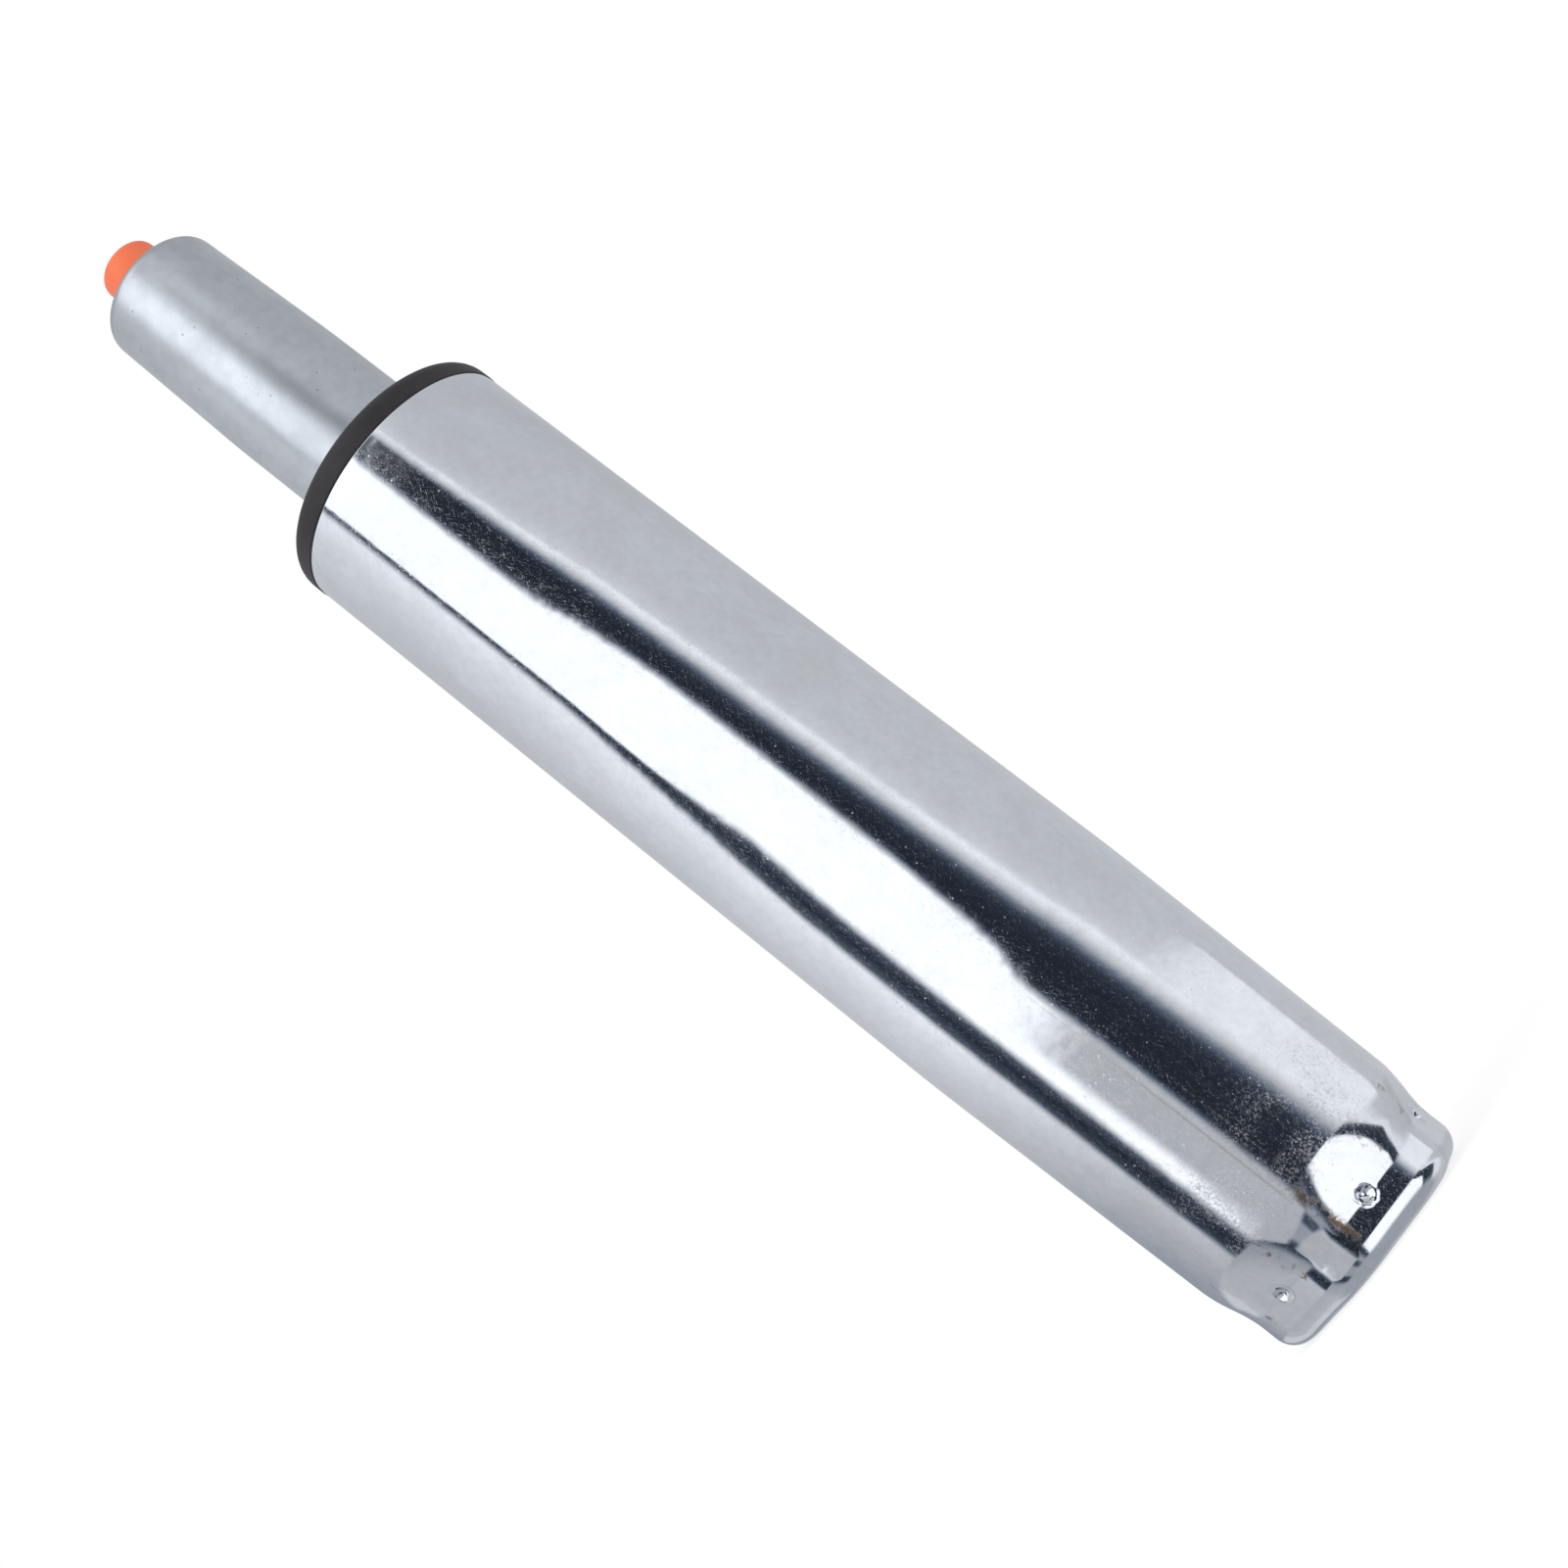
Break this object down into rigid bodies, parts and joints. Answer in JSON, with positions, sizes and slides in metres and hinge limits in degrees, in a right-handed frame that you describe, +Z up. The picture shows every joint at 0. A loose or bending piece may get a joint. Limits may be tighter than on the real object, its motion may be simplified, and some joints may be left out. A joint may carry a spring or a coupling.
{
  "type": "chair gas lift cylinder",
  "caption": "Gas lift column for a swivel chair: tapered chromed tube with a crimped foot, sliding pressure tube with a tapered tip, and a release button.",
  "frame": {"origin": "centre of the foot, on the plane that the column stands on", "axes": "+Z up along the lift's axis to the release button; -Y is the side that the picture shows"},
  "size_m": [0.0502, 0.0502, 0.2934],
  "materials": {
    "column_chrome": "mirror chrome plate with fine scratches",
    "tube_steel": "satin drawn steel",
    "bushing_plastic": "matte black acetal",
    "button_plastic": "satin orange nylon",
    "plated_steel": "zinc plated",
    "bearing_steel": "ground and polished",
    "cage_plastic": "natural nylon",
    "seal_rubber": "black nitrile rubber",
    "rod_chrome": "hard chrome",
    "cylinder_steel": "drawn steel",
    "guide_plastic": "natural acetal",
    "valve_brass": "turned brass",
    "piston_alloy": "turned aluminium",
    "clip_steel": "black oxide spring steel"
  },
  "bodies": {
    "column": {"outer_tube": "column_chrome", "guide_bushing": "bushing_plastic", "base_cup": "plated_steel", "lower_race": "bearing_steel"},
    "cage": {"ball_cage": "cage_plastic", "bearing_balls": "bearing_steel"},
    "rod": {"piston_rod": "rod_chrome", "upper_race": "bearing_steel", "rubber_buffer": "seal_rubber", "clip_washer": "plated_steel", "retaining_clip": "clip_steel", "piston": "piston_alloy", "piston_ring": "seal_rubber", "piston_washer": "plated_steel"},
    "lift": {"pressure_tube": "tube_steel", "end_washer": "plated_steel", "rod_seal": "seal_rubber", "seal_support": "guide_plastic", "rod_guide": "guide_plastic", "guide_o_ring": "seal_rubber", "inner_cylinder": "cylinder_steel", "valve_seat": "valve_brass", "seat_o_ring": "seal_rubber", "valve_spacer": "plated_steel", "pin_o_ring": "seal_rubber", "valve_body": "valve_brass", "body_o_ring": "seal_rubber"},
    "release": {"valve_pin": "rod_chrome", "release_button": "button_plastic"}
  },
  "joints": [
    {"name": "seat_swivel", "type": "hinge", "parent": "column", "child": "rod", "pos_m": [0, 0, 0.0195], "axis": [0, 0, 1], "continuous": true},
    {"name": "cage_turn", "type": "hinge", "parent": "column", "child": "cage", "pos_m": [0, 0, 0.0195], "axis": [0, 0, 1], "continuous": true},
    {"name": "seat_lift", "type": "slide", "parent": "rod", "child": "lift", "axis": [0, 0, 1], "range_m": [0, 0.1]},
    {"name": "button_press", "type": "slide", "parent": "lift", "child": "release", "axis": [0, 0, -1], "range_m": [0, 0.003], "stiffness_N_per_m": 2000, "springref_m": -0.003}
  ],
  "couplings": [
    {"joint": "cage_turn", "follows": "seat_swivel", "ratio": 0.5}
  ]
}
